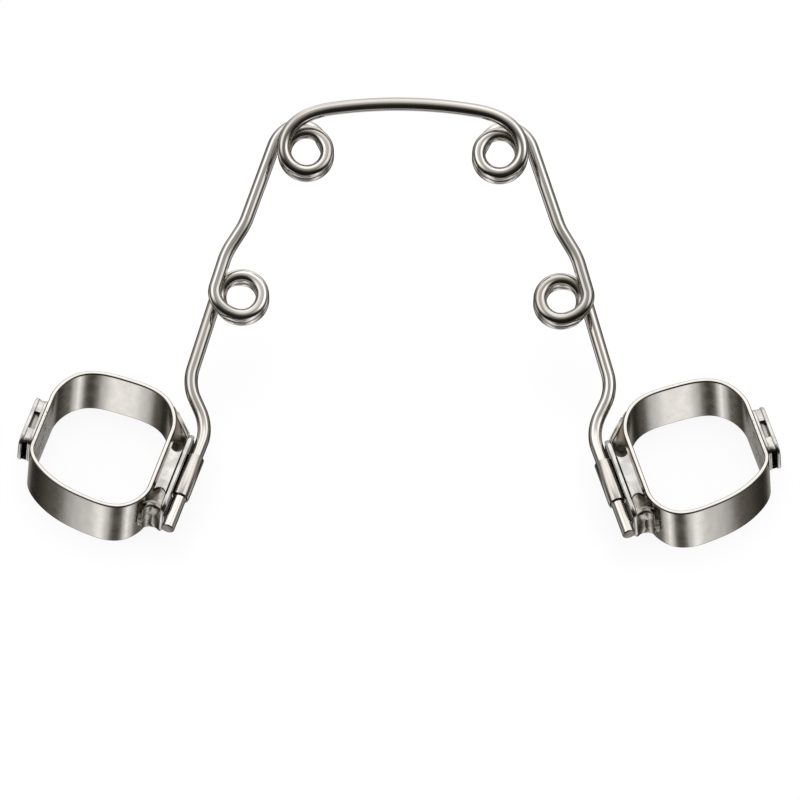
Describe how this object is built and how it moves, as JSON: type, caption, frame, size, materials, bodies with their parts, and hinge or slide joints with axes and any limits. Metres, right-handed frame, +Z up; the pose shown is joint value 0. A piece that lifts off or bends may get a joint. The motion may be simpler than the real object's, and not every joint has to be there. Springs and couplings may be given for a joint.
{
  "type": "palatal expander",
  "caption": "Palatal expander bent from round steel wire with a helix at each corner; its straight ends swivel in round sheaths on a pair of open molar bands.",
  "frame": {"origin": "under the middle of the part, on the plane of the bands' lower rims", "axes": "+X to the right, +Y towards the bridge of the wire, +Z up"},
  "size_m": [0.0544, 0.0292, 0.016],
  "materials": {
    "wire_steel": "drawn and polished stainless wire",
    "band_steel": "polished stainless strip",
    "fitting_steel": "cast and tumbled stainless",
    "sheath_steel": "drawn stainless tube"
  },
  "bodies": {
    "wire": {"quad_helix_wire": "wire_steel"},
    "left_band": {"left_molar_band": "band_steel", "left_lingual_weld_pad": "fitting_steel", "left_lingual_cleat": "fitting_steel", "left_lingual_sheath": "sheath_steel", "left_lingual_strap": "fitting_steel", "left_lingual_weld": "fitting_steel", "left_buccal_weld_pad": "fitting_steel", "left_buccal_tube": "fitting_steel", "left_buccal_cover": "fitting_steel"},
    "right_band": {"right_molar_band": "band_steel", "right_lingual_weld_pad": "fitting_steel", "right_lingual_cleat": "fitting_steel", "right_lingual_sheath": "sheath_steel", "right_lingual_strap": "fitting_steel", "right_lingual_weld": "fitting_steel", "right_buccal_weld_pad": "fitting_steel", "right_buccal_tube": "fitting_steel", "right_buccal_cover": "fitting_steel"}
  },
  "joints": [
    {"name": "left_band_swivel", "type": "hinge", "parent": "wire", "child": "left_band", "pos_m": [-0.01501, -0.01015, 0.00345], "axis": [0.2924, 0.9563, 0], "continuous": true},
    {"name": "right_band_swivel", "type": "hinge", "parent": "wire", "child": "right_band", "pos_m": [0.01501, -0.01015, 0.00345], "axis": [0.2924, -0.9563, 0], "continuous": true}
  ]
}
